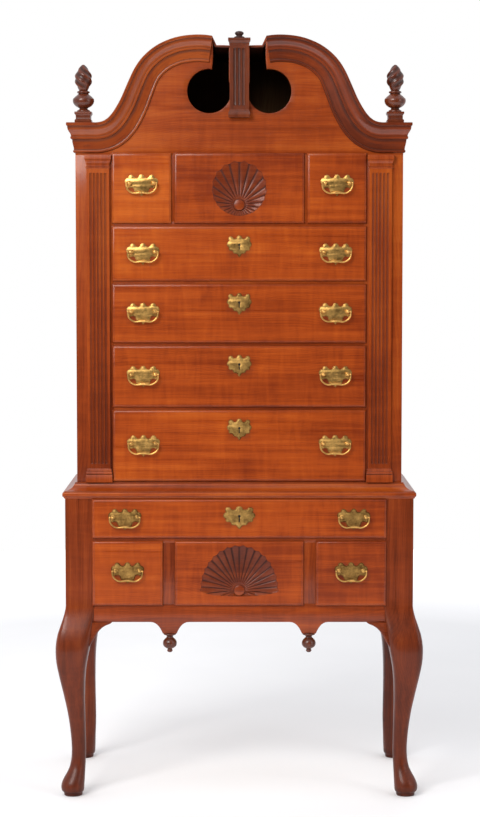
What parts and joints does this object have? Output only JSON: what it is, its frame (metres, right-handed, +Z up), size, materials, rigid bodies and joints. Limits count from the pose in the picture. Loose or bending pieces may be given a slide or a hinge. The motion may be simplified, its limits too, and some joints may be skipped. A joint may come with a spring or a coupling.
{
  "type": "highboy",
  "caption": "Tall two-part chest of drawers on cabriole legs, with lipped drawers, carved fans, brass bail pulls, fluted pilasters and a closed swan-neck bonnet.",
  "frame": {"origin": "on the floor at the middle of the footprint", "axes": "+Z up, -Y is the side the drawers open to, +X is to the right of a person facing the drawers"},
  "size_m": [1.0472, 0.5592, 2.17],
  "materials": {
    "cherry_front": "polished, red-brown",
    "cherry_case": "polished, red-brown",
    "cherry_dark": "polished, darker red-brown",
    "pine": "bare secondary wood, aged",
    "brass": "aged, half polished"
  },
  "bodies": {
    "case": {"leg_front_left": "cherry_dark", "leg_front_right": "cherry_dark", "leg_rear_left": "cherry_dark", "leg_rear_right": "cherry_dark", "lower_side_left": "cherry_case", "lower_side_right": "cherry_case", "lower_back_board": "pine", "lower_drawer_rails": "cherry_case", "lower_runners": "pine", "apron": "cherry_case", "knee_brackets": "cherry_case", "apron_drops": "cherry_dark", "waist_moulding": "cherry_dark", "upper_side_left": "cherry_case", "upper_side_right": "cherry_case", "upper_back_board": "pine", "upper_boards": "pine", "upper_drawer_rails": "cherry_case", "upper_runners": "pine", "upper_stiles": "cherry_case", "pilasters": "cherry_dark", "pediment_board": "cherry_case", "bonnet_hood": "cherry_case", "cornice_mouldings": "cherry_dark", "plinths": "cherry_dark", "turned_finials": "cherry_dark"},
    "upper_drawer_top_left": {"upper_drawer_top_left": "cherry_front", "upper_drawer_top_left_brasses": "brass"},
    "upper_drawer_top_left_bail": {"upper_drawer_top_left_bail": "brass"},
    "upper_drawer_top_fan": {"upper_drawer_top_fan": "cherry_front"},
    "upper_drawer_top_right": {"upper_drawer_top_right": "cherry_front", "upper_drawer_top_right_brasses": "brass"},
    "upper_drawer_top_right_bail": {"upper_drawer_top_right_bail": "brass"},
    "upper_drawer_second": {"upper_drawer_second": "cherry_front", "upper_drawer_second_brasses": "brass"},
    "upper_drawer_second_bail_left": {"upper_drawer_second_bail_left": "brass"},
    "upper_drawer_second_bail_right": {"upper_drawer_second_bail_right": "brass"},
    "upper_drawer_third": {"upper_drawer_third": "cherry_front", "upper_drawer_third_brasses": "brass"},
    "upper_drawer_third_bail_left": {"upper_drawer_third_bail_left": "brass"},
    "upper_drawer_third_bail_right": {"upper_drawer_third_bail_right": "brass"},
    "upper_drawer_fourth": {"upper_drawer_fourth": "cherry_front", "upper_drawer_fourth_brasses": "brass"},
    "upper_drawer_fourth_bail_left": {"upper_drawer_fourth_bail_left": "brass"},
    "upper_drawer_fourth_bail_right": {"upper_drawer_fourth_bail_right": "brass"},
    "upper_drawer_bottom": {"upper_drawer_bottom": "cherry_front", "upper_drawer_bottom_brasses": "brass"},
    "upper_drawer_bottom_bail_left": {"upper_drawer_bottom_bail_left": "brass"},
    "upper_drawer_bottom_bail_right": {"upper_drawer_bottom_bail_right": "brass"},
    "lower_drawer_long": {"lower_drawer_long": "cherry_front", "lower_drawer_long_brasses": "brass"},
    "lower_drawer_long_bail_left": {"lower_drawer_long_bail_left": "brass"},
    "lower_drawer_long_bail_right": {"lower_drawer_long_bail_right": "brass"},
    "lower_drawer_left": {"lower_drawer_left": "cherry_front", "lower_drawer_left_brasses": "brass"},
    "lower_drawer_left_bail": {"lower_drawer_left_bail": "brass"},
    "lower_drawer_fan": {"lower_drawer_fan": "cherry_front"},
    "lower_drawer_right": {"lower_drawer_right": "cherry_front", "lower_drawer_right_brasses": "brass"},
    "lower_drawer_right_bail": {"lower_drawer_right_bail": "brass"}
  },
  "joints": [
    {"name": "upper_drawer_top_left_slide", "type": "slide", "parent": "case", "child": "upper_drawer_top_left", "axis": [0, -1, 0], "range_m": [0, 0.31]},
    {"name": "upper_drawer_top_left_bail_swing", "type": "hinge", "parent": "upper_drawer_top_left", "child": "upper_drawer_top_left_bail", "pos_m": [-0.27525, -0.2395, 1.747], "axis": [-1, 0, 0], "range_deg": [0, 95]},
    {"name": "upper_drawer_top_fan_slide", "type": "slide", "parent": "case", "child": "upper_drawer_top_fan", "axis": [0, -1, 0], "range_m": [0, 0.31]},
    {"name": "upper_drawer_top_right_slide", "type": "slide", "parent": "case", "child": "upper_drawer_top_right", "axis": [0, -1, 0], "range_m": [0, 0.31]},
    {"name": "upper_drawer_top_right_bail_swing", "type": "hinge", "parent": "upper_drawer_top_right", "child": "upper_drawer_top_right_bail", "pos_m": [0.27525, -0.2395, 1.747], "axis": [-1, 0, 0], "range_deg": [0, 95]},
    {"name": "upper_drawer_second_slide", "type": "slide", "parent": "case", "child": "upper_drawer_second", "axis": [0, -1, 0], "range_m": [0, 0.31]},
    {"name": "upper_drawer_second_bail_left_swing", "type": "hinge", "parent": "upper_drawer_second", "child": "upper_drawer_second_bail_left", "pos_m": [-0.272, -0.2395, 1.554], "axis": [-1, 0, 0], "range_deg": [0, 95]},
    {"name": "upper_drawer_second_bail_right_swing", "type": "hinge", "parent": "upper_drawer_second", "child": "upper_drawer_second_bail_right", "pos_m": [0.272, -0.2395, 1.554], "axis": [-1, 0, 0], "range_deg": [0, 95]},
    {"name": "upper_drawer_third_slide", "type": "slide", "parent": "case", "child": "upper_drawer_third", "axis": [0, -1, 0], "range_m": [0, 0.31]},
    {"name": "upper_drawer_third_bail_left_swing", "type": "hinge", "parent": "upper_drawer_third", "child": "upper_drawer_third_bail_left", "pos_m": [-0.272, -0.2395, 1.386], "axis": [-1, 0, 0], "range_deg": [0, 95]},
    {"name": "upper_drawer_third_bail_right_swing", "type": "hinge", "parent": "upper_drawer_third", "child": "upper_drawer_third_bail_right", "pos_m": [0.272, -0.2395, 1.386], "axis": [-1, 0, 0], "range_deg": [0, 95]},
    {"name": "upper_drawer_fourth_slide", "type": "slide", "parent": "case", "child": "upper_drawer_fourth", "axis": [0, -1, 0], "range_m": [0, 0.31]},
    {"name": "upper_drawer_fourth_bail_left_swing", "type": "hinge", "parent": "upper_drawer_fourth", "child": "upper_drawer_fourth_bail_left", "pos_m": [-0.272, -0.2395, 1.208], "axis": [-1, 0, 0], "range_deg": [0, 95]},
    {"name": "upper_drawer_fourth_bail_right_swing", "type": "hinge", "parent": "upper_drawer_fourth", "child": "upper_drawer_fourth_bail_right", "pos_m": [0.272, -0.2395, 1.208], "axis": [-1, 0, 0], "range_deg": [0, 95]},
    {"name": "upper_drawer_bottom_slide", "type": "slide", "parent": "case", "child": "upper_drawer_bottom", "axis": [0, -1, 0], "range_m": [0, 0.31]},
    {"name": "upper_drawer_bottom_bail_left_swing", "type": "hinge", "parent": "upper_drawer_bottom", "child": "upper_drawer_bottom_bail_left", "pos_m": [-0.272, -0.2395, 1.011], "axis": [-1, 0, 0], "range_deg": [0, 95]},
    {"name": "upper_drawer_bottom_bail_right_swing", "type": "hinge", "parent": "upper_drawer_bottom", "child": "upper_drawer_bottom_bail_right", "pos_m": [0.272, -0.2395, 1.011], "axis": [-1, 0, 0], "range_deg": [0, 95]},
    {"name": "lower_drawer_long_slide", "type": "slide", "parent": "case", "child": "lower_drawer_long", "axis": [0, -1, 0], "range_m": [0, 0.34]},
    {"name": "lower_drawer_long_bail_left_swing", "type": "hinge", "parent": "lower_drawer_long", "child": "lower_drawer_long_bail_left", "pos_m": [-0.324, -0.272, 0.805], "axis": [-1, 0, 0], "range_deg": [0, 95]},
    {"name": "lower_drawer_long_bail_right_swing", "type": "hinge", "parent": "lower_drawer_long", "child": "lower_drawer_long_bail_right", "pos_m": [0.324, -0.272, 0.805], "axis": [-1, 0, 0], "range_deg": [0, 95]},
    {"name": "lower_drawer_left_slide", "type": "slide", "parent": "case", "child": "lower_drawer_left", "axis": [0, -1, 0], "range_m": [0, 0.34]},
    {"name": "lower_drawer_left_bail_swing", "type": "hinge", "parent": "lower_drawer_left", "child": "lower_drawer_left_bail", "pos_m": [-0.317, -0.272, 0.652], "axis": [-1, 0, 0], "range_deg": [0, 95]},
    {"name": "lower_drawer_fan_slide", "type": "slide", "parent": "case", "child": "lower_drawer_fan", "axis": [0, -1, 0], "range_m": [0, 0.34]},
    {"name": "lower_drawer_right_slide", "type": "slide", "parent": "case", "child": "lower_drawer_right", "axis": [0, -1, 0], "range_m": [0, 0.34]},
    {"name": "lower_drawer_right_bail_swing", "type": "hinge", "parent": "lower_drawer_right", "child": "lower_drawer_right_bail", "pos_m": [0.317, -0.272, 0.652], "axis": [-1, 0, 0], "range_deg": [0, 95]}
  ]
}
